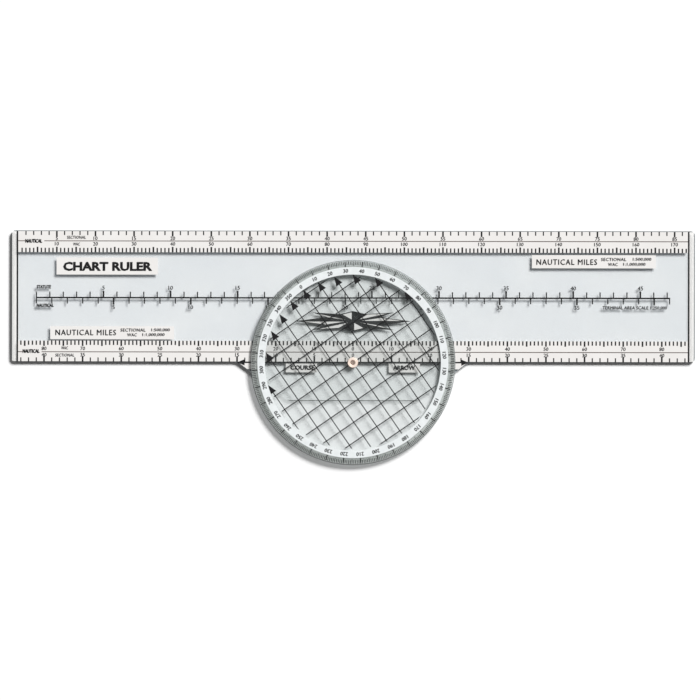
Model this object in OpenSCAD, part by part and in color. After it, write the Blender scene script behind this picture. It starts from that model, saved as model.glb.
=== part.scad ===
// Rotating-azimuth chart plotter: a clear rule with printed mileage scales,
// and a clear compass disc that turns on a brass eyelet at the rule's lower edge.
// Origin: on the eyelet's axis, in the plane that the rule lies on.
// +X runs along the rule to the right, +Y up the rule, +Z towards the reader.

/* [Blade] */
// Length of the clear blade, end to end
blade_length = 328; // [326:0.5:340]
// Width of the blade, from one straightedge to the other
blade_width = 63.2; // [62:0.1:70]
// Thickness of the blade
blade_thickness = 1.6; // [1.4:0.1:2.4]
// Radius of the blade's four corners
corner_radius = 2.2; // [0.5:0.1:3]
// Depth of the tab that carries the disc, below the lower straightedge
tab_depth = 18.5; // [15:0.5:24]
// Half width of the tab's lower edge
tab_half_foot = 31; // [26:0.5:34]
// Radius where the blade turns down into the tab
shoulder_radius = 4; // [1:0.5:6]

/* [Disc] */
// Radius of the compass disc
disc_radius = 49.2; // [48.9:0.1:50]
// Thickness of the disc
disc_thickness = 1; // [0.8:0.1:1.5]
// Bearing that stands at the top of the disc at rest, in degrees
rest_bearing = 34.6; // [0:0.1:359.9]
// Inner radius of the white numbered ring
ring_inner_radius = 42.2; // [41:0.1:43]
// Outer radius of the white numbered ring
ring_outer_radius = 45.8; // [45:0.1:46]
// Radius at which the degree marks end
degree_mark_radius = 48.6; // [48:0.1:48.8]
// Pitch of the disc's square grid
grid_pitch = 7.94; // [7.5:0.01:8]
// Lines each side of the middle one, each way
grid_half_count = 5; // [3:1:5]

/* [Pivot] */
// Radius of the eyelet's bore, which takes a pencil point
eyelet_bore_radius = 1.15; // [1:0.05:1.2]
// Radius of the eyelet's barrel
eyelet_barrel_radius = 1.6; // [1.5:0.05:1.7]
// Radius of the eyelet's head
eyelet_head_radius = 2.5; // [2.3:0.1:2.6]
// Height of the eyelet's head
eyelet_head_height = 0.4; // [0.3:0.05:0.6]
// Radius of the rolled end under the washer
eyelet_roll_radius = 2.1; // [2:0.05:2.3]
// Outer radius of the backing washer
washer_radius = 2.45; // [2.35:0.05:3]
// Thickness of the backing washer
washer_thickness = 0.3; // [0.2:0.05:0.35]
// Outer radius of the spacer between blade and disc
spacer_radius = 2.45; // [2.3:0.05:3.5]
// Thickness of the spacer
spacer_thickness = 0.2; // [0.15:0.05:0.4]

/* [Scales] */
// Length of the terminal area scale, in nautical miles
terminal_miles = 41; // [36:1:42]
// Height of the terminal area scale above the lower straightedge
terminal_height = 30.95; // [28:0.05:34]
// Width of the white band along the upper straightedge
upper_band_width = 10.45; // [10:0.05:11]
// Width of the white band along the lower straightedge
lower_band_width = 10.3; // [10:0.05:11]
// Distance from the upper straightedge to the line that divides its band
upper_divider_inset = 5.05; // [4.5:0.05:6]
// Height of the line that divides the lower band
lower_divider_height = 4.95; // [4.5:0.05:6]
// Distance from the middle of the blade to each end line
end_line_reach = 161; // [160.5:0.1:161.2]

/* [Panels] */
// Distance from the middle of the blade to the middle of the title panel
title_reach = 117.9; // [116:0.1:120]
// Height of the title panel's middle above the lower straightedge
title_middle = 46.1; // [45:0.1:47]
// Width of the title panel
title_width = 48.6; // [46:0.1:52]
// Height of the title panel
title_height = 8.2; // [7:0.1:9]
// Distance from the middle of the blade to the middle of each scale panel
scale_panel_reach = 115.5; // [114:0.1:118]
// Height of the upper scale panel's middle above the lower straightedge
upper_panel_middle = 48.5; // [47:0.1:48.8]
// Height of the lower scale panel's middle above the lower straightedge
lower_panel_middle = 14.1; // [14.1:0.1:16]
// Width of each scale panel
scale_panel_width = 59.4; // [58:0.1:62]
// Height of each scale panel
scale_panel_height = 6.3; // [5:0.1:6.4]
// Distance from the pivot to the middle of each word panel on the course line
word_panel_reach = 24.7; // [22:0.1:30]
// Depth of each word panel's middle below the course line
word_panel_drop = 2.65; // [2.6:0.05:4]
// Width of each word panel
word_panel_width = 15; // [13:0.1:17]
// Height of each word panel
word_panel_height = 4.2; // [3:0.1:4.4]

/* [Printing] */
// Thickness of one coat of ink
ink = 0.03; // [0.02:0.005:0.04]
// Width of a plain tick
fine_tick = 0.56; // [0.3:0.01:0.6]
// Width of a plain tick on the 1:1,000,000 scales
world_tick = 0.66; // [0.3:0.01:0.7]
// Width of a numbered tick
bold_tick = 0.8; // [0.5:0.01:0.85]
// Width of a degree mark
degree_width = 0.36; // [0.15:0.01:0.4]
// Width of a numbered degree mark
degree_ten_width = 0.56; // [0.3:0.01:0.6]
// Width of the grid's lines
grid_line = 0.46; // [0.2:0.01:0.5]
// Width of the course line
course_line_width = 0.7; // [0.4:0.05:0.8]
// Width of the line at each end of the scales
end_line_width = 0.8; // [0.5:0.05:0.9]
// Width of the line along the middle of each white band
divider_width = 0.38; // [0.15:0.01:0.4]
// Length of the gap that the divider leaves for a word
word_gap = 8.8; // [8:0.1:12]
// Half length of the compass star
star_half_length = 28; // [20:0.5:30]
// Half height of the compass star
star_half_height = 4.9; // [4:0.1:6]

/* [Hidden] */
$fn = 96;

ink_colour = [0.06, 0.06, 0.06];
paper_colour = [0.95, 0.94, 0.92];
blade_colour = [0.86, 0.89, 0.91, 0.5];
disc_colour = [0.80, 0.84, 0.83, 0.5];
brass_colour = [0.78, 0.62, 0.40];

// Millimetres that one mile takes on the printed scales, which the charts fix
sectional_mile = 3.704;          // nautical, at 1:500,000
world_mile = 1.852;              // nautical, at 1:1,000,000
terminal_nautical_mile = 7.408;  // nautical, at 1:250,000
terminal_statute_mile = 6.4374;  // statute, at 1:250,000

running_gap = 0.06;      // radial play of the disc on the barrel
end_play = 0.04;         // axial play on each face of the disc
print_margin = 0.4;      // how far the printing stays inside a cut edge
overshoot = 1;           // how far a cutting tool runs past a face

coat_one = blade_thickness;
coat_two = blade_thickness + ink;
spacer_bottom = blade_thickness + 2 * ink;
disc_bottom = spacer_bottom + spacer_thickness + end_play;
disc_top = disc_bottom + disc_thickness;
head_bottom = disc_top + end_play;
blade_hole_radius = eyelet_barrel_radius + 0.05;
recess_radius = washer_radius + 0.35;
roll_bottom = 0.05;
roll_height = 0.35;
washer_bottom = roll_bottom + roll_height;
recess_depth = washer_bottom + washer_thickness;

tab_half_top = 15 * sectional_mile;
tab_fillet = 3;
end_x = blade_length / 2;
line_half = course_line_width / 2;
print_reach = end_line_reach - end_line_width / 2;

// How far the marks reach in, from a straightedge or from a scale's own edge
sectional_fine = 2.25;
sectional_bold = 2.9;
world_fine = 2.05;
world_bold = 2.55;
terminal_fine = 2.5;
terminal_bold = 3;
degree_fine = 1.7;
degree_five = 2.1;
degree_ten = 2.7;

arrow_length = 3.6;
arrow_half_width = 1.5;
north_length = 4.6;
north_half_width = 1.75;
pivot_window = eyelet_head_radius + 0.2;

star_middle = 19.8;
facet_inset = 0.3;       // how far a light facet draws in from its black outline

upper_gap_start = 3.7;   // from the end line to the divider's gap
lower_gap_start = 2.5;

shoulder_white = 3.2;    // depth of the white ground below the course line
shoulder_inset = 0.6;
terminal_line_width = 0.72;
ring_gap = 0.9;          // from the grid's lines to the white ring
north_gap = 0.1;         // from the north arrows to the white ring

// ---- shared shapes ----

function unit(v) = v / norm(v);

function turned(v, angle) =
    [v.x * cos(angle) - v.y * sin(angle), v.x * sin(angle) + v.y * cos(angle)];

// Points along the arc of radius r that rounds corner b, between a and c
function rounded_corner(a, b, c, r, steps = 10) =
    let (
        u = unit(a - b),
        v = unit(c - b),
        half = acos(u * v) / 2,
        centre = b + unit(u + v) * r / sin(half),
        first = b + u * r / tan(half) - centre,
        turn = (cross(u, v) > 0 ? -1 : 1) * (180 - 2 * half)
    )
    [for (i = [0:steps]) centre + turned(first, turn * i / steps)];

// Outline through corners, each an [x, y, radius]
function rounded_outline(corners) =
    let (n = len(corners), p = [for (c = corners) [c.x, c.y]])
    [for (i = [0:n - 1])
        each rounded_corner(p[(i + n - 1) % n], p[i], p[(i + 1) % n], corners[i].z)];

// Ticks stand on the line y = 0 and point up
module tick(x, length, width) {
    translate([x - width / 2, 0]) square([width, length]);
}

// A coat of ink of the given outline, at height z
module coat(z) {
    translate([0, 0, z]) linear_extrude(height = ink) children();
}

module panel(middle_x, middle_y, width, height) {
    color(paper_colour) coat(coat_one) translate([middle_x, middle_y])
        square([width, height], center = true);
}

// ---- blade and pivot ----

module blade_outline() {
    polygon(rounded_outline([
        [-end_x, 0, corner_radius],
        [-tab_half_top, 0, shoulder_radius],
        [-tab_half_foot, -tab_depth, tab_fillet],
        [tab_half_foot, -tab_depth, tab_fillet],
        [tab_half_top, 0, shoulder_radius],
        [end_x, 0, corner_radius],
        [end_x, blade_width, corner_radius],
        [-end_x, blade_width, corner_radius]
    ]));
}

module blade() {
    color(blade_colour) difference() {
        linear_extrude(height = blade_thickness) blade_outline();
        translate([0, 0, -overshoot])
            cylinder(r = blade_hole_radius, h = blade_thickness + 2 * overshoot);
        translate([0, 0, -overshoot]) cylinder(r = recess_radius, h = recess_depth + overshoot);
    }
}

// One brass tube, headed above the disc and rolled over under the washer
module eyelet() {
    head_top = head_bottom + eyelet_head_height;
    lip = 0.18;
    color(brass_colour) rotate_extrude() polygon([
        [eyelet_bore_radius + lip, roll_bottom],
        [eyelet_roll_radius - lip, roll_bottom],
        [eyelet_roll_radius, roll_bottom + lip],
        [eyelet_roll_radius, washer_bottom],
        [eyelet_barrel_radius, washer_bottom],
        [eyelet_barrel_radius, head_bottom],
        [eyelet_head_radius, head_bottom],
        [eyelet_head_radius, head_top - lip],
        [eyelet_head_radius - lip, head_top],
        [eyelet_bore_radius + lip, head_top],
        [eyelet_bore_radius, head_top - lip],
        [eyelet_bore_radius, roll_bottom + lip]
    ]);
}

module eyelet_washer() {
    color(brass_colour) translate([0, 0, washer_bottom]) difference() {
        cylinder(r = washer_radius, h = washer_thickness);
        translate([0, 0, -overshoot])
            cylinder(r = eyelet_barrel_radius + running_gap, h = washer_thickness + 2 * overshoot);
    }
}

module disc_spacer() {
    color(blade_colour) translate([0, 0, spacer_bottom]) difference() {
        cylinder(r = spacer_radius, h = spacer_thickness);
        translate([0, 0, -overshoot])
            cylinder(r = eyelet_barrel_radius + running_gap, h = spacer_thickness + 2 * overshoot);
    }
}

// ---- printing on the blade ----

module upper_scale_band() {
    color(paper_colour) coat(coat_one) translate([-print_reach, blade_width - upper_band_width])
        square([2 * print_reach, upper_band_width - print_margin]);
}

// White ground at one shoulder, down to where the disc's ring covers it
module shoulder_ground() {
    slope = (tab_half_top - tab_half_foot) / tab_depth;
    inner = (ring_inner_radius + ring_outer_radius) / 2;
    outer = tab_half_top - shoulder_inset;
    polygon([
        [inner, 0],
        [outer, 0],
        [outer - shoulder_white * slope, -shoulder_white],
        [inner, -shoulder_white]
    ]);
}

module lower_scale_band() {
    color(paper_colour) coat(coat_one) difference() {
        union() {
            translate([-print_reach, print_margin])
                square([2 * print_reach, lower_band_width - print_margin]);
            shoulder_ground();
            mirror([1, 0]) shoulder_ground();
        }
        course_shape();
        circle(r = blade_hole_radius + print_margin);
    }
}

module title_panel() { panel(-title_reach, title_middle, title_width, title_height); }

module upper_scale_panel() {
    panel(scale_panel_reach, upper_panel_middle, scale_panel_width, scale_panel_height);
}

module lower_scale_panel() {
    panel(-scale_panel_reach, lower_panel_middle, scale_panel_width, scale_panel_height);
}

module course_panel() {
    panel(-word_panel_reach, -word_panel_drop, word_panel_width, word_panel_height);
}

module arrow_panel() {
    panel(word_panel_reach, -word_panel_drop, word_panel_width, word_panel_height);
}

// Tips and notches of one quarter of the star, as shares of its half length and half height
star_quarter = [[1, 0], [0.46, 0.4], [0.7, 0.86], [0.22, 0.7], [0, 1]];

module each_quarter() {
    translate([0, star_middle]) for (turn = [0, 180], flip = [0, 1])
        rotate(turn) mirror([flip, 0]) children();
}

// A long, low compass star, drawn in black
module emblem_ground() {
    color(ink_colour) coat(coat_one) each_quarter()
        polygon([[0, 0], for (p = star_quarter) [p.x * star_half_length, p.y * star_half_height]]);
}

// The light half of each point, printed over the black
module emblem_facets() {
    points = [for (p = star_quarter) [p.x * star_half_length, p.y * star_half_height]];
    color(paper_colour) coat(coat_two) translate([0, star_middle])
        for (turn = [0, 180], flip = [0, 1], i = [flip, flip + 2]) {
            corners = [[0, 0], points[i], points[i + 1]];
            middle = (corners[1] + corners[2]) / 3;
            rotate(turn) mirror([flip, 0])
                polygon([for (p = corners) p + (middle - p) * facet_inset]);
        }
}

module scale_end_lines() {
    color(ink_colour) coat(coat_one) for (side = [-1, 1])
        translate([side * end_line_reach - end_line_width / 2, print_margin])
            square([end_line_width, blade_width - 2 * print_margin]);
}

// A divider at height y, with a gap for a word near its left end
module divider(y, gap_start) {
    gap_end = gap_start + word_gap;
    translate([-print_reach, y - divider_width / 2]) {
        square([gap_start, divider_width]);
        translate([gap_end, 0]) square([2 * print_reach - gap_end, divider_width]);
    }
}

module band_dividers() {
    color(ink_colour) coat(coat_two) {
        divider(blade_width - upper_divider_inset, upper_gap_start);
        divider(lower_divider_height, lower_gap_start);
    }
}

// The upper scales count from the inner edge of the left end line
module upper_sectional_ticks() {
    last = floor(2 * print_reach / sectional_mile);
    color(ink_colour) coat(coat_two) translate([-print_reach, blade_width - print_margin])
        mirror([0, 1]) for (mile = [1:last]) {
            bold = mile % 5 == 0;
            reach = bold ? sectional_bold : sectional_fine;
            tick(mile * sectional_mile, reach - print_margin, bold ? bold_tick : fine_tick);
        }
}

module world_mark(mile) {
    bold = mile % 5 == 0;
    tick(mile * world_mile, bold ? world_bold : world_fine, bold ? bold_tick : world_tick);
}

module upper_world_ticks() {
    last = floor(2 * print_reach / world_mile);
    color(ink_colour) coat(coat_two) translate([-print_reach, blade_width - upper_band_width])
        for (mile = [1:last]) world_mark(mile);
}

// The pivot hides the tick at nought
module lower_sectional_ticks() {
    last = floor(print_reach / sectional_mile);
    color(ink_colour) coat(coat_two) for (mile = [-last:last]) if (mile != 0) {
        bold = mile % 5 == 0;
        foot = abs(mile) < 15 ? line_half : print_margin;
        top = bold ? sectional_bold : sectional_fine;
        translate([0, foot]) tick(mile * sectional_mile, top - foot, bold ? bold_tick : fine_tick);
    }
}

module lower_world_ticks() {
    last = floor(print_reach / world_mile);
    color(ink_colour) coat(coat_two) translate([0, lower_band_width]) mirror([0, 1])
        for (mile = [-last:last]) world_mark(mile);
}

terminal_start = -terminal_miles * terminal_nautical_mile / 2;

module terminal_scale_line() {
    color(ink_colour) coat(coat_one)
        translate([terminal_start - fine_tick / 2, terminal_height - terminal_line_width / 2])
            square([fine_tick - 2 * terminal_start, terminal_line_width]);
}

module terminal_ticks(mile_length) {
    last = floor(-2 * terminal_start / mile_length);
    for (mile = [0:last]) {
        bold = mile % 5 == 0 && mile > 0;
        tick(terminal_start + mile * mile_length, bold ? terminal_bold : terminal_fine,
            bold ? bold_tick : fine_tick);
    }
}

module terminal_statute_ticks() {
    color(ink_colour) coat(coat_one) translate([0, terminal_height + terminal_line_width / 2])
        terminal_ticks(terminal_statute_mile);
}

module terminal_nautical_ticks() {
    color(ink_colour) coat(coat_one) translate([0, terminal_height - terminal_line_width / 2])
        mirror([0, 1]) terminal_ticks(terminal_nautical_mile);
}

// The course line with an arrowhead at each end, along the lower straightedge
module course_shape() {
    tip = tab_half_top;
    difference() {
        union() {
            translate([-tip + arrow_length / 2, -line_half])
                square([2 * tip - arrow_length, course_line_width]);
            for (side = [-1, 1]) polygon([
                [side * tip, 0],
                [side * (tip - arrow_length), arrow_half_width],
                [side * (tip - arrow_length), -arrow_half_width]
            ]);
        }
        circle(r = blade_hole_radius + print_margin);
    }
}

module course_line() {
    color(ink_colour) coat(coat_one) course_shape();
}

// ---- disc ----

// The disc's own marks are drawn with north up, then turned to the rest bearing
module on_disc() {
    color(ink_colour) rotate([0, 0, rest_bearing]) coat(disc_top) children();
}

module azimuth_disc() {
    color(disc_colour) translate([0, 0, disc_bottom]) difference() {
        cylinder(r = disc_radius, h = disc_thickness);
        translate([0, 0, -overshoot])
            cylinder(r = eyelet_barrel_radius + running_gap, h = disc_thickness + 2 * overshoot);
    }
}

module azimuth_ring() {
    color(paper_colour) coat(disc_top) difference() {
        circle(r = ring_outer_radius);
        circle(r = ring_inner_radius);
    }
}

module degree_marks() {
    on_disc() for (degree = [0:359]) {
        ten = degree % 10 == 0;
        length = ten ? degree_ten : degree % 5 == 0 ? degree_five : degree_fine;
        rotate(-degree) translate([0, degree_mark_radius - length])
            tick(0, length, ten ? degree_ten_width : degree_width);
    }
}

// Square grid with an arrowhead to north on every line that runs north
module bearing_grid() {
    line_reach = ring_inner_radius - ring_gap;
    on_disc() difference() {
        union() {
            intersection() {
                for (i = [-grid_half_count:grid_half_count], turn = [0, 90])
                    rotate(turn) translate([i * grid_pitch, 0])
                        square([grid_line, 2 * ring_inner_radius], center = true);
                circle(r = line_reach);
            }
            intersection() {
                for (i = [-grid_half_count:grid_half_count])
                    translate([i * grid_pitch, sqrt(pow(ring_inner_radius, 2) - pow(i * grid_pitch, 2))])
                        polygon([
                            [0, 0],
                            [-north_half_width, -north_length],
                            [north_half_width, -north_length]
                        ]);
                circle(r = ring_inner_radius - north_gap);
            }
        }
        circle(r = pivot_window);
    }
}

blade();
eyelet();
eyelet_washer();
disc_spacer();
upper_scale_band();
lower_scale_band();
title_panel();
upper_scale_panel();
lower_scale_panel();
course_panel();
arrow_panel();
emblem_ground();
emblem_facets();
scale_end_lines();
band_dividers();
upper_sectional_ticks();
upper_world_ticks();
lower_sectional_ticks();
lower_world_ticks();
terminal_scale_line();
terminal_statute_ticks();
terminal_nautical_ticks();
course_line();
azimuth_disc();
azimuth_ring();
degree_marks();
bearing_grid();
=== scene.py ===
import math

import bpy
import numpy as np
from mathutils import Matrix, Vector


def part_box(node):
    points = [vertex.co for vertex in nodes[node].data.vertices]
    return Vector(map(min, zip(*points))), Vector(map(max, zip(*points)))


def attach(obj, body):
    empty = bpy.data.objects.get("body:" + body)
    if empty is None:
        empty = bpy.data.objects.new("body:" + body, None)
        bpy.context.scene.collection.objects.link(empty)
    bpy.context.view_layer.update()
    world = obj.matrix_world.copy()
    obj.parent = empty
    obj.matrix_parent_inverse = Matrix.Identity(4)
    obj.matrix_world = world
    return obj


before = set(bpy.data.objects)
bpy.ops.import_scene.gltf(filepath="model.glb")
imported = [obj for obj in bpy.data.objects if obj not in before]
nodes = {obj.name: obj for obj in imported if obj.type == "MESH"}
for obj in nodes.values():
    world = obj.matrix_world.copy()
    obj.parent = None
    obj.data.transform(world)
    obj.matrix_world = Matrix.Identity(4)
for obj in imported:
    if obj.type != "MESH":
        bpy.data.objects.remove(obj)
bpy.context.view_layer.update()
mm = 0.001
print("frame loaded:", len(nodes), "pieces from CAD")


# Lowest and highest corner of a CAD piece, in mm
def edges(node):
    low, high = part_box(node)
    return [v / mm for v in low], [v / mm for v in high]


# Places that the printing hangs on
bladeLow, bladeHigh = edges("blade")
plasticTop = bladeHigh[2]
bandLow, bandHigh = edges("upper_scale_band")
bandTop = bandHigh[2]
scaleStart = bandLow[0]                       # nought of the upper scales
halfTick = 0.28                               # mm, of the terminal scale's nought
terminalStart = edges("terminal_nautical_ticks")[0][0] + halfTick
discRadius = edges("azimuth_disc")[1][0]
ringTop = edges("azimuth_ring")[1][2]

sectionalMile = 3.704                         # 1852 m at 1:500,000
worldMile = 1.852                             # at 1:1,000,000
nauticalMile = 7.408                          # at 1:250,000
statuteMile = 6.4374
print("places read")


# Wraps a number socket, so that + - * / and ** add Math nodes
class Value:
    def __init__(self, look, socket):
        self.look, self.socket = look, socket

    def maths(self, operation, a, b):
        return Value(self.look, self.look.node("ShaderNodeMath", {"operation": operation}, {0: a, 1: b}))

    def __add__(self, other):
        return self.maths("ADD", self, other)

    def __radd__(self, other):
        return self.maths("ADD", other, self)

    def __sub__(self, other):
        return self.maths("SUBTRACT", self, other)

    def __rsub__(self, other):
        return self.maths("SUBTRACT", other, self)

    def __mul__(self, other):
        return self.maths("MULTIPLY", self, other)

    def __rmul__(self, other):
        return self.maths("MULTIPLY", other, self)

    def __truediv__(self, other):
        return self.maths("DIVIDE", self, other)

    def __pow__(self, other):
        return self.maths("POWER", self, other)

    def above(self, edge):
        return self.maths("GREATER_THAN", self, edge)

    def least(self, other):
        return self.maths("MINIMUM", self, other)

    def most(self, other):
        return self.maths("MAXIMUM", self, other)

    def size(self):
        return self.maths("ABSOLUTE", self, 0)

    def wave(self):
        return self.maths("SINE", self, 0)


# One material, built a node at a time
class Look:
    def __init__(self, name):
        self.material = bpy.data.materials.new(name)
        self.material.use_nodes = True
        self.tree = self.material.node_tree
        self.tree.nodes.clear()
        self.output = self.tree.nodes.new("ShaderNodeOutputMaterial")

    # Any node: its type, its settings, then a value or a link for each input
    def node(self, kind, settings=None, values=None, out=0):
        made = self.tree.nodes.new(kind)
        for key, value in (settings or {}).items():
            setattr(made, key, value)
        for key, value in (values or {}).items():
            socket = made.inputs[key]
            if isinstance(value, Value):
                value = value.socket
            if isinstance(value, bpy.types.NodeSocket):
                self.tree.links.new(value, socket)
            else:
                socket.default_value = value
        return made.outputs[out]

    def value(self, kind, settings=None, values=None, out=0):
        return Value(self, self.node(kind, settings, values, out))

    # Object coordinates in metres, turned about Z and stretched
    def place(self, turn=0.0, stretch=(1, 1, 1)):
        spot = self.node("ShaderNodeTexCoord", out="Object")
        return self.node("ShaderNodeMapping", None,
                         {"Vector": spot, "Rotation": (0, 0, turn), "Scale": stretch})

    # x and y in mm, as numbers
    def flat(self):
        spot = self.place()
        return [self.value("ShaderNodeSeparateXYZ", None, {0: spot}, out=i) * (1 / mm) for i in (0, 1)]

    # Soft noise from 0 to 1, spots about pitch mm across
    def noise(self, pitch, detail=2.0, turn=0.0, stretch=(1, 1, 1)):
        return self.value("ShaderNodeTexNoise", None, {
            "Vector": self.place(turn, stretch), "Scale": 1 / (pitch * mm), "Detail": detail})

    def blend(self, factor, first, second):
        return self.node("ShaderNodeMix", {"data_type": "RGBA"},
                         {0: factor, 6: first, 7: second}, out=2)

    # Bump from a height of 0 to 1 that stands for depth mm
    def bump(self, height, depth):
        return self.node("ShaderNodeBump", None,
                         {"Height": height, "Distance": depth * mm, "Strength": 1.0})

    def finish(self, shader):
        self.tree.links.new(shader, self.output.inputs["Surface"])
        return self.material


# A colour as a screen shows it, 0 to 255, made linear
def tone(r, g, b):
    return tuple((v / 255) ** 2.2 for v in (r, g, b)) + (1.0,)


tab = {
    "half": 15 * sectionalMile,   # mm, half width at the straightedge
    "taper": 1.33,                # drop over run of the line taken for the slanted edges
    "lean": 0.8,                  # turns a distance along x into one square to that line
    # painted light: within this radius the blade's haze, arris and walls are kept fainter
    "shelter": 46.5,              # mm, radius within which the disc shelters the blade
    "scaleEnd": 161.4,            # mm, the outer side of the end lines
    "far": 100.0,                 # mm, puts an edge out of reach where it doesn't run
}


# What the blade's finish needs at a spot: the distance in mm to the nearest cut edge, whether it lies
# open (1) or under the disc (0), where its haze, arris and wall shadows are kept faint as painted light
# for the light that comes through the disc, and where the ends beyond the scales get a paler cover,
# which is painted light. The line taken for the tab's slanted edges is steeper than they are and leaves
# the sheet, so from about 1 mm below the shoulders they have no arris.
def bladeShape(x, y):
    side = x.size()
    ends = bladeHigh[0] - side
    upper = bladeHigh[1] - y
    lower = y.size() + tab["far"] * (1 - side.above(tab["half"]))
    beside = side.above(tab["half"]) + y.above(0)
    slant = (tab["half"] - side + y / tab["taper"]) * tab["lean"] + tab["far"] * beside
    foot = y - bladeLow[1]
    bare = (x * x + y * y).above(tab["shelter"] ** 2)
    return ends.least(upper).least(lower).least(slant).least(foot), bare, side.above(tab["scaleEnd"])


# The same for the disc: radius - distance from the axis. It lies open; among its marks a paler cover is
# painted light that lifts the shade seen through them.
def discShape(x, y):
    inset = discRadius - (x * x + y * y) ** 0.5
    return inset, 1.0, 1 - inset.above(disc["marksDepth"])


# What is left of a cover: all of it in the open, only this share under the disc, where fainter haze,
# arris and walls are painted light
def sheltered(share, bare):
    return share + (1 - share) * bare


# Clear sheet. Light goes straight through with a slight tint at each face; clouds and fine scratches
# cover a little of it. The arris, the broken edge, is bumped over so that it shades like a bevel; its
# grey and the dark grey of the walls are painted shade for the dark look that a clear cut edge gets from
# the light it bends aside. A wall holds light back from outside, and lets most of it out from inside.
# Shadows are traced from the floor up: for them the upper arris clears, and the underside holds light
# back near the rim, where real plastic bends it aside. A paler cover at the blade's ends and among the
# disc's marks is painted light, and so are the fainter haze, arris and walls under the disc.
def clearPlastic(name, sheet, shape):
    look = Look(name)
    x, y = look.flat()
    inset, bare, pale = shape(x, y)
    upright = look.value("ShaderNodeSeparateXYZ", None,
                         {0: look.node("ShaderNodeNewGeometry", out="Normal")}, out=2)
    flat = upright.size().above(0.5)
    below = 1 - upright.above(-0.5)
    inside = look.value("ShaderNodeNewGeometry", out="Backfacing")
    cloud = look.noise(sheet["cloudPitch"], 3.0)
    scratch = look.noise(acrylic["scratchPitch"], 2.0, sheet["scratchTurn"],
                         (1, acrylic["scratchSqueeze"], 1))
    rise = (inset / sheet["arris"]).least(1)
    broken = 1 - rise.above(0.999)
    through = look.node("ShaderNodeBsdfTransparent", None, {"Color": sheet["tint"]})
    # painted light: a paler cover where the shape asks for one
    haze = look.blend(pale, look.blend(cloud, sheet["hazeDark"], sheet["hazeLight"]), sheet["paintedLightTone"])
    # painted shade: the grey of the broken edge over the haze
    hazeWithEdgeShade = look.blend(broken, haze, sheet["arrisTone"])
    skin = look.node("ShaderNodeBsdfPrincipled", None, {
        "Base Color": look.blend(flat, sheet["wallTone"], hazeWithEdgeShade),
        "Roughness": acrylic["roughness"] * (1 + scratch) + acrylic["arrisRoughness"] * broken,
        "IOR": acrylic["ior"],
        "Normal": look.bump(rise + scratch * (sheet["scratchDepth"] / sheet["arris"]), sheet["arris"]),
    })
    slant = look.value("ShaderNodeLayerWeight", None, {"Blend": 0.5}, out="Facing") ** 4.0
    uneven = acrylic["thinCloud"] + acrylic["thickening"] * cloud
    face = sheet["hazeCover"] * uneven * sheltered(acrylic["shelteredHaze"], bare)
    face = face + slant * acrylic["glare"] + sheet["paintedLightCover"] * pale
    face = face.most(broken * sheet["arrisCover"] * sheltered(acrylic["shelteredArris"], bare)
                     * (1 - acrylic["arrisThrough"] * below * inside))
    face = face.most((1 - inset.above(sheet["rim"])) * below * (1 - inside) * sheet["rimCover"])
    wall = sheet["wallCover"] - (sheet["wallCover"] - sheet["innerCover"]) * inside
    cover = face * flat + wall * sheltered(acrylic["shelteredWall"], bare) * (1 - flat)
    return look.finish(look.node("ShaderNodeMixShader", None, {0: cover, 1: through, 2: skin}))


# What all the clear sheet has in common
acrylic = {
    "ior": 1.49,
    "roughness": 0.10,                  # where it is polished; scratches double it
    "arrisRoughness": 0.3,              # what the broken edge adds
    "scratchPitch": 0.35,               # mm
    "scratchSqueeze": 0.03,             # width of a scratch as a share of its length
    "glare": 0.5,                       # cover at a grazing look
    "thinCloud": 0.4,                   # share of the haze where a cloud is thinnest
    "thickening": 1.2,                  # what is added where it is thickest
    # painted light: shares kept of the blade's haze, arris and wall cover under the disc
    "shelteredHaze": 0.1,               # share left where the disc shelters the blade
    "shelteredArris": 0.5,
    "shelteredWall": 0.25,
    "arrisThrough": 0.7,                # how far the upper arris clears for shadows
}
blade = {
    "tint": (0.975, 0.978, 0.976, 1),   # left of the light after one face
    "cloudPitch": 30.0,                 # mm, size of the faint clouds
    "hazeDark": tone(164, 176, 186),
    "hazeLight": tone(204, 213, 222),
    "hazeCover": 0.10,
    # painted light: a paler cover at the ends beyond the scales
    "paintedLightTone": tone(236, 234, 232),    # the ends beyond the scales
    "paintedLightCover": 0.25,
    # painted shade: the walls' dark grey and the arris's grey stand in for the dark look of a clear cut
    # edge
    "wallTone": tone(60, 64, 66),
    "wallCover": 0.97,                  # seen or lit from outside
    "innerCover": 0.0,                  # from inside
    "arris": 0.45,                      # mm, width of the broken edge
    "arrisTone": tone(112, 116, 118),
    "arrisCover": 0.75,
    "rim": 0.0,                         # mm, width along the edge that bends light aside
    "rimCover": 0.0,
    "scratchTurn": 0.6,                 # radians
    "scratchDepth": 0.002,              # mm
}
disc = {
    "tint": (0.942, 0.950, 0.950, 1),
    "cloudPitch": 6.0,
    "hazeDark": tone(150, 158, 156),
    "hazeLight": tone(206, 212, 210),
    "hazeCover": 0.03,
    "marksDepth": 3.4,                  # mm, from the edge in to the white ring
    # painted light: a paler cover among the degree marks, lifting the shade seen through them
    "paintedLightTone": tone(192, 198, 194),    # among the degree marks
    "paintedLightCover": 0.28,
    # painted shade: the walls' dark grey and the arris's grey stand in for the dark look of a clear cut
    # edge
    "wallTone": tone(60, 64, 64),
    "wallCover": 0.75,
    "innerCover": 0.1,
    "arris": 0.45,
    "arrisTone": tone(108, 112, 112),
    "arrisCover": 0.45,
    "rim": 2.0,
    "rimCover": 0.6,
    "scratchTurn": 2.2,
    "scratchDepth": 0.004,
}
nylon = dict(blade, hazeCover=0.25, cloudPitch=1.5)
clearBlade = clearPlastic("clearBlade", blade, bladeShape)
clearDisc = clearPlastic("clearDisc", disc, discShape)
spacerNylon = clearPlastic("spacerNylon", nylon, discShape)


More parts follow.
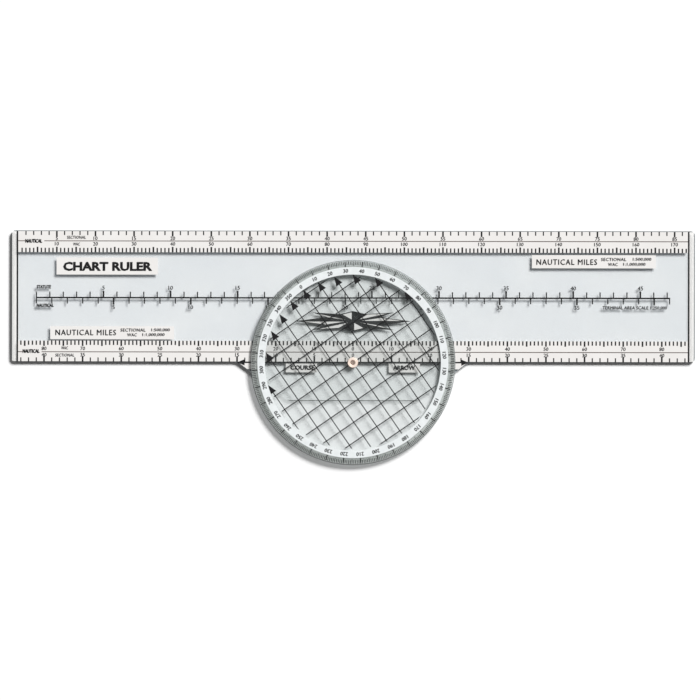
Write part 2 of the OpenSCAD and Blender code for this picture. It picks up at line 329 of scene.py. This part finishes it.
# Screen-printed ink: nearly even, with the grain of the mesh and faint clouds of thicker ink
def ink(name, coat):
    look = Look(name)
    cloud = look.noise(coat["cloudPitch"], 2.0)
    grain = look.noise(meshPitch, 1.0)
    return look.finish(look.node("ShaderNodeBsdfPrincipled", None, {
        "Base Color": look.blend(cloud, coat["dark"], coat["light"]),
        "Roughness": coat["roughness"] + grainRoughness * (grain - 0.5),
        "Specular IOR Level": coat["gloss"],
        "Normal": look.bump(grain, coat["grainDepth"]),
    }))


meshPitch = 0.12               # mm, grain of the printing mesh
grainRoughness = 0.15          # how much the roughness varies with it
whiteCoat = {
    "cloudPitch": 14.0,        # mm
    "dark": tone(216, 213, 210),
    "light": tone(225, 223, 221),
    "roughness": 0.5,
    "gloss": 0.3,
    "grainDepth": 0.004,       # mm
}
discCoat = {
    "cloudPitch": 2.5,
    "dark": tone(208, 212, 212),
    "light": tone(226, 230, 231),
    "roughness": 0.4,
    "gloss": 0.3,
    "grainDepth": 0.006,
}
blackCoat = {
    "cloudPitch": 3.0,
    "dark": tone(8, 8, 10),
    "light": tone(20, 20, 22),
    "roughness": 0.45,
    "gloss": 0.2,
    "grainDepth": 0.004,
}
thinCoat = {
    "cloudPitch": 8.0,
    "dark": tone(62, 52, 50),
    "light": tone(88, 76, 72),
    "roughness": 0.5,
    "gloss": 0.3,
    "grainDepth": 0.003,
}
whiteInk = ink("whiteInk", whiteCoat)
ringInk = ink("ringInk", discCoat)
blackInk = ink("blackInk", blackCoat)
dividerInk = ink("dividerInk", thinCoat)

brass = {
    "bright": tone(250, 238, 229),
    "dull": tone(200, 172, 154),
    "patch": 0.9,             # mm, size of the dulled patches
    "ringPitch": 0.35,        # mm between the rings left by the setting tool
    "ringDepth": 0.02,        # mm
    "roughness": 0.3,         # where it is bright
    "dullness": 0.2,          # what tarnish adds
}


# Brass dulled in patches, with turned rings: a sine of the distance from the axis
def rolledBrass():
    look = Look("rolledBrass")
    x, y = look.flat()
    rings = ((x * x + y * y) ** 0.5 * (math.tau / brass["ringPitch"])).wave() * 0.5 + 0.5
    tarnish = look.noise(brass["patch"], 3.0)
    return look.finish(look.node("ShaderNodeBsdfPrincipled", None, {
        "Base Color": look.blend(tarnish, brass["bright"], brass["dull"]),
        "Metallic": 1.0,
        "Roughness": brass["roughness"] + brass["dullness"] * tarnish,
        "Normal": look.bump(rings, brass["ringDepth"]),
    }))


eyeletBrass = rolledBrass()

finishes = {
    clearBlade: ["blade"],
    clearDisc: ["azimuth_disc"],
    spacerNylon: ["disc_spacer"],
    eyeletBrass: ["eyelet", "eyelet_washer"],
    dividerInk: ["band_dividers"],
    whiteInk: ["upper_scale_band", "lower_scale_band", "title_panel", "upper_scale_panel",
               "lower_scale_panel", "course_panel", "arrow_panel", "emblem_facets"],
    ringInk: ["azimuth_ring"],
    blackInk: ["emblem_ground", "scale_end_lines", "upper_sectional_ticks", "upper_world_ticks",
               "lower_sectional_ticks", "lower_world_ticks", "terminal_scale_line",
               "terminal_statute_ticks", "terminal_nautical_ticks", "course_line",
               "degree_marks", "bearing_grid"],
}
for material, names in finishes.items():
    for name in names:
        mesh = nodes[name].data
        mesh.materials.clear()
        mesh.materials.append(material)
for name in ("scale_end_lines", "degree_marks"):      # soft light closes round these thin lines
    nodes[name].visible_shadow = False
print("materials made")

slabs = {}
coatThickness = 0.02      # mm
secondLift = 0.002        # mm, how much higher the second strike lies
strikeRise = 0.7          # how far a strike is shifted up for each mm across


# A word as a thin closed slab in Blender's own typeface, 1 mm high, with its middle at the origin
def wordSlab(words, boldness, spacing):
    key = (words, boldness, spacing)
    if key not in slabs:
        curve = bpy.data.curves.new("word", "FONT")
        curve.body = words
        curve.offset = boldness
        curve.space_character = spacing
        curve.extrude = 0.5
        curve.resolution_u = 2
        holder = bpy.data.objects.new("word", curve)
        bpy.context.scene.collection.objects.link(holder)
        bpy.context.view_layer.update()
        mesh = bpy.data.meshes.new_from_object(
            holder.evaluated_get(bpy.context.evaluated_depsgraph_get()))
        points = np.empty(len(mesh.vertices) * 3)
        mesh.vertices.foreach_get("co", points)
        points = points.reshape(-1, 3)
        low, high = points.min(0), points.max(0)
        points = points - (low + high) / 2
        points[:, :2] /= high[1] - low[1]
        slabs[key] = points, [tuple(face.vertices) for face in mesh.polygons]
        bpy.data.objects.remove(holder)
        bpy.data.curves.remove(curve)
        bpy.data.meshes.remove(mesh)
    return slabs[key]


# One piece from many words. Each is words, x, y, height, turn in degrees, boldness, spacing and width
# (None keeps the letters' own): point = (x, y) + turned (u * height * stretch, v * height).
# Every word is struck twice, strike mm to each side of its place, which makes its strokes heavier.
def lettering(name, entries, bottom, body, strike):
    allPoints, allFaces, start = [], [], 0
    for words, x, y, height, turn, boldness, spacing, width in entries:
        points, faces = wordSlab(words, boldness, spacing)
        stretch = 1.0 if width is None else width / (height * np.ptp(points[:, 0]))
        c, s = math.cos(math.radians(turn)), math.sin(math.radians(turn))
        for shift, lift in ((-strike, 0.0), (strike, secondLift)):
            u = points[:, 0] * height * stretch + shift
            v = points[:, 1] * height + strikeRise * shift
            allPoints.append(np.stack([x + u * c - v * s, y + u * s + v * c,
                                       bottom + lift + coatThickness * (points[:, 2] + 0.5)], 1))
            allFaces += [tuple(i + start for i in face) for face in faces]
            start += len(points)
    mesh = bpy.data.meshes.new(name)
    mesh.from_pydata((np.concatenate(allPoints) * mm).tolist(), [], allFaces)
    mesh.materials.append(blackInk)
    piece = bpy.data.objects.new(name, mesh)
    bpy.context.scene.collection.objects.link(piece)
    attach(piece, body)


# The numbers of one scale: from first to last, counted outwards from nought at start
def scaleNumbers(name, scale, bottom):
    first, last, step = scale["count"]
    lettering(name, [(str(abs(n)), scale["start"] + n * scale["mile"], scale["middle"], scale["height"],
                      0.0, 0.0, 1.0, None) for n in range(first, last + 1, step)],
              bottom, "rule", scale["strike"])


upperSectional = {
    "count": (5, 85, 5),      # first, last and step
    "start": scaleStart,
    "mile": sectionalMile,
    "middle": 59.4,           # mm above the lower straightedge
    "height": 1.7,            # mm
    "strike": 0.08,           # mm
}
upperWorld = dict(upperSectional, count=(10, 170, 10), mile=worldMile, middle=56.75)
lowerSectional = dict(upperSectional, count=(-40, 40, 5), start=0.0, middle=3.55)
lowerWorld = dict(lowerSectional, count=(-80, 80, 10), mile=worldMile, middle=6.55)
statute = {
    "count": (5, 45, 5),
    "start": terminalStart,
    "mile": statuteMile,
    "middle": 35.7,
    "height": 1.9,
    "strike": 0.08,
}
nautical = dict(statute, count=(5, 35, 5), mile=nauticalMile, middle=26.4)
scaleNumbers("upper_sectional_numbers", upperSectional, bandTop)
scaleNumbers("upper_world_numbers", upperWorld, bandTop)
scaleNumbers("lower_sectional_numbers", lowerSectional, bandTop)
scaleNumbers("lower_world_numbers", lowerWorld, bandTop)
scaleNumbers("statute_numbers", statute, plasticTop)
scaleNumbers("nautical_numbers", nautical, plasticTop)
print("scale numbers set")

# Words: text, middle x, middle y, height, width, boldness, spacing. A bold M, W or 4 fills in, so
# lines that have one keep a boldness of 0 or stay small.
scaleWords = {
    "band_words": (bandTop, [
        ("NAUTICAL", -153.2, 58.1, 1.8, 8.0, 0.03, 1.0),
        ("SECTIONAL", -132.7, 59.85, 1.4, 9.0, 0.0, 1.1),
        ("WAC", -132.7, 56.6, 1.4, 3.2, 0.0, 1.0),
        ("NAUTICAL", -154.4, 5.25, 1.8, 8.0, 0.03, 1.0),
        ("SECTIONAL", -138.2, 3.35, 1.4, 9.0, 0.0, 1.1),
        ("WAC", -138.3, 6.8, 1.4, 3.2, 0.0, 1.0),
    ]),
    "terminal_words": (plasticTop, [
        ("STATUTE", -148.3, 36.1, 1.6, 6.8, 0.02, 1.0),
        ("NAUTICAL", -147.65, 27.2, 1.6, 8.1, 0.02, 1.0),
        ("TERMINAL AREA SCALE 1:250,000", 135.1, 26.3, 1.7, 30.8, 0.0, 1.0),
    ]),
    "panel_words": (bandTop, [
        ("CHART RULER", -117.7, 45.9, 4.3, 42.6, 0.035, 1.0),
        ("NAUTICAL MILES", 102.5, 48.3, 2.7, 29.0, 0.0, 1.15),
        ("SECTIONAL", 125.0, 49.6, 1.5, 12.0, 0.0, 1.1),
        ("1:500,000", 138.6, 49.6, 1.6, 8.8, 0.0, 1.0),
        ("WAC", 124.6, 47.2, 1.5, 4.6, 0.0, 1.1),
        ("1:1,000,000", 134.9, 47.2, 1.6, 10.6, 0.0, 1.0),
        ("NAUTICAL MILES", -128.2, 14.2, 2.7, 29.0, 0.0, 1.15),
        ("SECTIONAL", -105.5, 15.4, 1.5, 12.0, 0.0, 1.1),
        ("1:500,000", -92.3, 15.4, 1.6, 8.8, 0.0, 1.0),
        ("WAC", -106.0, 13.1, 1.5, 4.6, 0.0, 1.1),
        ("1:1,000,000", -95.7, 13.1, 1.6, 10.6, 0.0, 1.0),
        ("COURSE", -24.2, -2.5, 2.2, 11.6, 0.025, 1.0),
        ("ARROW", 24.5, -2.5, 2.2, 10.5, 0.015, 1.0),
    ]),
}
wordStrike = 0.11         # mm
for name, (bottom, lines) in scaleWords.items():
    lettering(name, [(words, x, y, height, 0.0, boldness, spacing, width)
                     for words, x, y, height, width, boldness, spacing in lines],
              bottom, "rule", wordStrike)

bearings = {
    "radius": 44.0,       # mm, middle of the numbers
    "height": 1.75,       # mm
    "restTurn": 34.6,     # degrees that the disc stands turned at rest
    "strike": 0.1,        # mm
}


# North up, bearing b stands at radius * (sin b, cos b); the rest turn is added to it
def bearingEntry(b):
    angle = math.radians(90 + bearings["restTurn"] - b)
    return (str(b), bearings["radius"] * math.cos(angle), bearings["radius"] * math.sin(angle),
            bearings["height"], bearings["restTurn"] - b, 0.0, 1.0, None)


lettering("bearing_numbers", [bearingEntry(b) for b in range(0, 360, 10)], ringTop, "compass",
          bearings["strike"])
print("words and bearings set")

studio = {
    "floorHalf": 3.0,                    # m
    "floorDrop": 0.00002,                # m, so that the floor doesn't share the blade's plane
    "floorTone": 0.87,
    "floorSpread": 0.01,                 # how much darker its faint clouds are
    "floorPitch": 40.0,                  # mm, size of the clouds
    "sunPower": 5.0,
    "sunSize": 24.0,                     # degrees across
    "sunFrom": (0.72, 0.86, 1.0),        # towards the light: right, up the rule, above
    "skyPower": 0.14,                    # what lights the shadows
    "backdrop": 0.9,                     # how light the far distance looks
    "cameraHeight": 3.0,                 # m
    "sensor": 36.0,                      # mm
    "viewWidth": 335.94,                 # mm across the frame
    "viewMiddle": (-1.4, 6.0),           # mm
    "viewTurn": 0.09,                    # degrees
}


def paperFloor():
    look = Look("paperFloor")
    cloud = look.noise(studio["floorPitch"], 2.0)
    light = (studio["floorTone"],) * 3 + (1,)
    dark = (studio["floorTone"] - studio["floorSpread"],) * 3 + (1,)
    return look.finish(look.node("ShaderNodeBsdfPrincipled", None, {
        "Base Color": look.blend(cloud, dark, light),
        "Roughness": 0.9,
        "Specular IOR Level": 0.0,
    }))


half = studio["floorHalf"]
floorMesh = bpy.data.meshes.new("floor")
floorMesh.from_pydata([(-half, -half, 0), (half, -half, 0), (half, half, 0), (-half, half, 0)],
                      [], [(0, 1, 2, 3)])
floorMesh.materials.append(paperFloor())
floor = bpy.data.objects.new("floor", floorMesh)
floor.location.z = -studio["floorDrop"]
bpy.context.scene.collection.objects.link(floor)

sun = bpy.data.lights.new("key", "SUN")
sun.energy = studio["sunPower"]
sun.angle = math.radians(studio["sunSize"])
key = bpy.data.objects.new("key", sun)
key.rotation_euler = Vector(studio["sunFrom"]).to_track_quat("Z", "Y").to_euler()
bpy.context.scene.collection.objects.link(key)

# The sky lights the shadows softly; looked at or mirrored it is a pale backdrop
world = bpy.data.worlds.new("sky")
world.use_nodes = True
sky = world.node_tree
ray = sky.nodes.new("ShaderNodeLightPath")
seen = sky.nodes.new("ShaderNodeMath")
seen.operation = "MAXIMUM"
sky.links.new(ray.outputs["Is Camera Ray"], seen.inputs[0])
sky.links.new(ray.outputs["Is Glossy Ray"], seen.inputs[1])
strength = sky.nodes.new("ShaderNodeMix")
strength.inputs[2].default_value = studio["skyPower"]
strength.inputs[3].default_value = studio["backdrop"]
sky.links.new(seen.outputs[0], strength.inputs[0])
background = sky.nodes["Background"]
background.inputs["Color"].default_value = (1, 1, 1, 1)
sky.links.new(strength.outputs[0], background.inputs["Strength"])
bpy.context.scene.world = world

lens = bpy.data.cameras.new("camera")
lens.sensor_width = studio["sensor"]
lens.lens = studio["sensor"] * studio["cameraHeight"] / (studio["viewWidth"] * mm)
camera = bpy.data.objects.new("camera", lens)
camera.location = (studio["viewMiddle"][0] * mm, studio["viewMiddle"][1] * mm, studio["cameraHeight"])
camera.rotation_euler.z = math.radians(studio["viewTurn"])
bpy.context.scene.collection.objects.link(camera)
bpy.context.scene.camera = camera
bpy.context.scene.view_settings.view_transform = "Standard"
bpy.context.scene.cycles.transparent_max_bounces = 32

print("stage ready")
